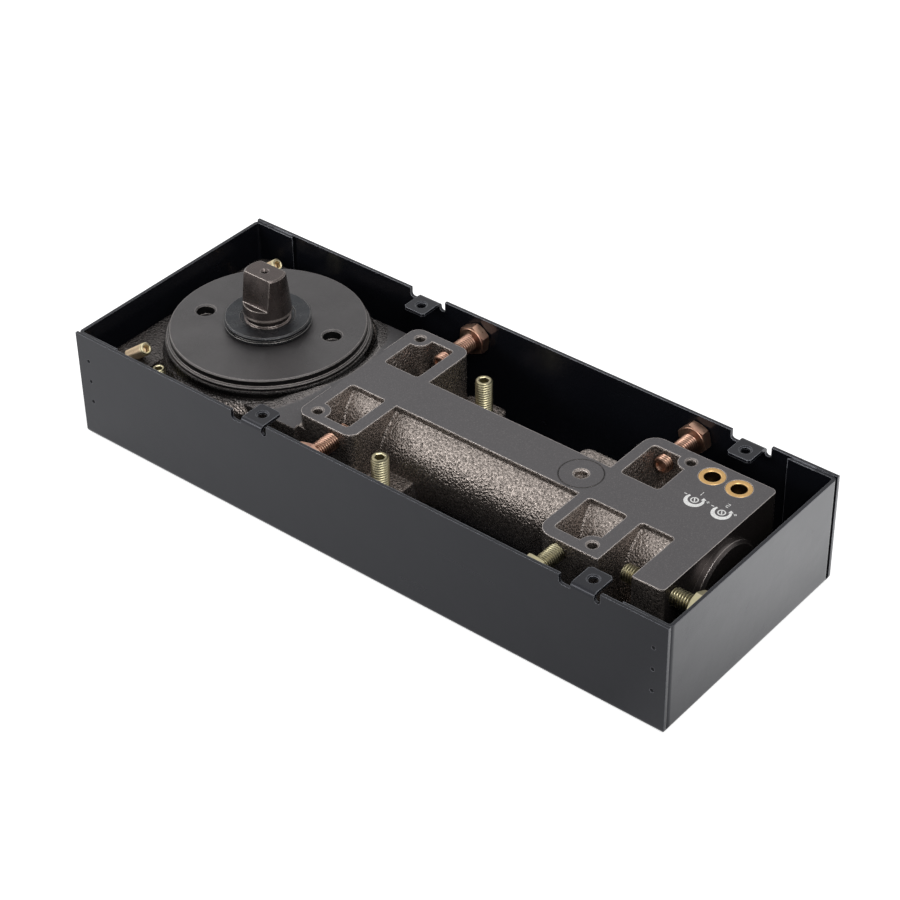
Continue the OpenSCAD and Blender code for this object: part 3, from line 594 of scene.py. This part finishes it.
def screws():
    """Each screw's thread starts at an angle of its own."""
    axes = {j["child"]: Vector(j["axis"]) for j in frame["joints"]}
    spin = 0.3
    for kind, size in (("level_screw", M8), ("corner_screw", M6)):
        for side in ("_near", "_far"):
            lo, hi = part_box(kind + side)
            spin += 1.1
            foot = ((lo.x + hi.x) / 2, (lo.y + hi.y) / 2, lo.z)
            set_screw(kind + side, place(foot, (0, 0, 1), spin), *size, hi.z - lo.z)
    for node in ("push_screw_near", "push_screw_far"):
        # the joint's axis points from the tip to the socket end
        top = PUSH_TOP + Vector((0, centre_of(node).y, 0))
        spin += 1.1
        set_screw(node, place(top - axes[node] * PUSH_LEN, axes[node], spin), *M6, PUSH_LEN, gold=(0.5, 1.0))
    for node in ("side_bolt_left_near", "side_bolt_left_far", "side_bolt_right_near", "side_bolt_right_far",
                 "end_bolt"):
        lo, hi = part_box(node)
        way = 0 if node == "end_bolt" else 1
        head = centre_of(node)
        head[way] = lo[way] if axes[node][way] > 0 else hi[way]
        spin += 0.7
        hex_bolt(node, place(head, axes[node], spin), hi[way] - lo[way])


screws()

# ---------------------------------------------------------------- printed marks beside the valves


class Ink:
    """Flat printed shapes, gathered in one mesh."""

    def __init__(self):
        self.v, self.f = [], []

    def quad(self, pts):
        s = len(self.v)
        self.v += pts
        self.f.append(tuple(range(s, s + len(pts))))

    def arc(self, c, r0, r1, a0, a1, thin=1.0, n=40):
        """A ring piece; thin is the width of its ends against its middle."""
        for i in range(n):
            t0, t1 = i / n, (i + 1) / n
            q = []
            for t, side in ((t0, -1), (t1, -1), (t1, 1), (t0, 1)):
                a = math.radians(a0 + (a1 - a0) * t)
                half = (r1 - r0) / 2 * (thin + (1 - thin) * math.sin(math.pi * t))
                r = (r0 + r1) / 2 + side * half
                q.append((c[0] + r * math.cos(a), c[1] + r * math.sin(a)))
            self.quad(q)

    def bar(self, c, length, width, angle=0):
        a = math.radians(angle)
        u, w = (math.cos(a), math.sin(a)), (-math.sin(a), math.cos(a))
        self.quad([(c[0] + u[0] * s * length / 2 + w[0] * t * width / 2,
                    c[1] + u[1] * s * length / 2 + w[1] * t * width / 2)
                   for s, t in ((-1, -1), (1, -1), (1, 1), (-1, 1))])


# bars of a seven-bar numeral, as (x, y, upright) in half heights and half widths
BARS = {"top": (0, 1, 0), "middle": (0, 0, 0), "bottom": (0, -1, 0),
        "right_high": (1, 0.5, 1), "right_low": (1, -0.5, 1), "left_low": (-1, -0.5, 1)}
NUMERALS = (("right_high", "right_low"), ("top", "right_high", "middle", "left_low", "bottom"))  # 1 and 2


def numeral(ink, bars, c, h):
    """A plain seven-bar numeral of height h."""
    for name in bars:
        x, y, upright = BARS[name]
        ink.bar((c[0] + x * h / 4, c[1] + y * h / 2), h / 2 + h * 0.14, h * 0.16, 90 * upright)


def marks():
    """One crescent arrow, slotted circle, minus, plus and numeral for each valve."""
    lo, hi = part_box("valve_bushes")
    z = hi.z + 0.03 * MM
    ink = Ink()
    y_valve = (lo.y + hi.y) / 2
    bush_r = (hi.y - lo.y) / 2
    tip = 392  # angle at which the crescent ends in its arrowhead
    for x_valve, bars in zip((lo.x + bush_r, hi.x - bush_r), NUMERALS):
        cx, cy = c = (x_valve + 3.2 * MM, y_valve - 17.3 * MM)
        ink.arc(c, 2.65 * MM, 4.65 * MM, 152, tip, thin=0.45)
        a = math.radians(tip)
        u, w = (math.cos(a), math.sin(a)), (-math.sin(a), math.cos(a))
        ink.quad([(cx + (u[0] * r + w[0] * f) * MM, cy + (u[1] * r + w[1] * f) * MM)
                  for r, f in ((2.5, -0.1), (4.8, -0.1), (3.75, 1.6))])
        ink.arc(c, 1.25 * MM, 1.8 * MM, 0, 360)
        ink.bar(c, 2.7 * MM, 0.5 * MM, 120)
        minus, plus = (cx - 5.3 * MM, cy + 1.4 * MM), (cx + 5.2 * MM, cy + 2.0 * MM)
        ink.bar(minus, 1.3 * MM, 0.45 * MM)
        for angle in (0, 90):
            ink.bar(plus, 1.4 * MM, 0.45 * MM, angle)
        numeral(ink, bars, (cx - 0.4 * MM, cy + 5.2 * MM), 2.2 * MM)
    me = bpy.data.meshes.new("valve_marks")
    me.from_pydata([(x, y, z) for x, y in ink.v], [], ink.f)
    me.materials.append(print_white())
    ob = bpy.data.objects.new("valve_marks", me)
    bpy.context.scene.collection.objects.link(ob)
    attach(ob, "closer")


marks()

# ---------------------------------------------------------------- floor, backdrop and light


def white_floor():
    """Floor that the camera sees evenly white and that takes the shadow.

    Glossy rays see it glow as a painted reflection, graded: bright beyond the box's right end, fading to the right
    along the near side.
    """
    size = 8.0
    me = bpy.data.meshes.new("floor")
    me.from_pydata([(-size, -size, 0), (size, -size, 0), (size, size, 0), (-size, size, 0)], [], [(0, 1, 2, 3)])
    floor = bpy.data.objects.new("floor", me)
    bpy.context.scene.collection.objects.link(floor)
    mat = bpy.data.materials.new("floor_white")
    mat.use_nodes = True
    mat.node_tree.nodes.clear()
    t = Nodes(mat.node_tree)
    ray = t.add("ShaderNodeLightPath").outputs
    x, y, _ = t.xyz(t.add("ShaderNodeTexCoord").outputs["Object"])
    left = t.math("MULTIPLY_ADD", x, -3.1, 0.5, clamp=True)
    end = t.math("MULTIPLY_ADD", x, 20.0, -2.6, clamp=True)
    far = t.math("MULTIPLY_ADD", y, 9.0, 0.62, clamp=True)
    beyond_end = t.math("MULTIPLY", t.math("MULTIPLY_ADD", far, 1.25, 0.46), end)
    # painted reflection: the floor glows for glossy rays only, graded by place
    painted_reflection = t.math("MULTIPLY", t.math("MULTIPLY_ADD", left, 0.45, beyond_end), ray["Is Glossy Ray"])
    seen = t.math("MAXIMUM", ray["Is Camera Ray"], ray["Is Transmission Ray"])
    glow = t.add("ShaderNodeEmission")
    t.plug(t.math("MULTIPLY_ADD", seen, 0.62, painted_reflection), glow.inputs["Strength"])
    matt = t.add("ShaderNodeBsdfDiffuse")
    matt.inputs["Color"].default_value = (0.8, 0.8, 0.8, 1)
    both = t.add("ShaderNodeAddShader")
    t.plug(matt.outputs[0], both.inputs[0])
    t.plug(glow.outputs[0], both.inputs[1])
    t.plug(both.outputs[0], t.add("ShaderNodeOutputMaterial").inputs["Surface"])
    me.materials.append(mat)


def white_world():
    """White where it is seen or reflected, dimmer as a light."""
    world = bpy.data.worlds.new("studio")
    bpy.context.scene.world = world
    world.use_nodes = True
    world.node_tree.nodes.clear()
    t = Nodes(world.node_tree)
    ray = t.add("ShaderNodeLightPath").outputs
    seen = t.math("MAXIMUM", ray["Is Camera Ray"], ray["Is Transmission Ray"])
    seen = t.math("MAXIMUM", seen, ray["Is Glossy Ray"])
    sky = t.add("ShaderNodeBackground")
    sky.inputs["Color"].default_value = (1, 1, 1, 1)
    t.plug(t.remap(seen, 0.0, 1.0, 0.35, 1.0), sky.inputs["Strength"])
    t.plug(sky.outputs[0], t.add("ShaderNodeOutputWorld").inputs["Surface"])


def softbox(name, place_at, size, power):
    """Rectangular lamp aimed at the object's middle."""
    data = bpy.data.lights.new(name, "AREA")
    data.shape = "RECTANGLE"
    data.size, data.size_y = size
    data.energy = power
    ob = bpy.data.objects.new(name, data)
    bpy.context.scene.collection.objects.link(ob)
    ob.location = place_at
    ob.rotation_euler = (Vector((0, 0, 0.03)) - Vector(place_at)).to_track_quat("-Z", "Y").to_euler()


def studio():
    bpy.context.scene.view_settings.view_transform = "Standard"
    white_floor()
    white_world()
    softbox("key", (0.9, -0.5, 1.3), (0.9, 0.9), 14)
    softbox("front", (-0.74, -1.04, 0.60), (1.0, 0.4), 7.5)
    softbox("fill", (-1.2, 0.2, 1.2), (1.0, 1.0), 4)


studio()
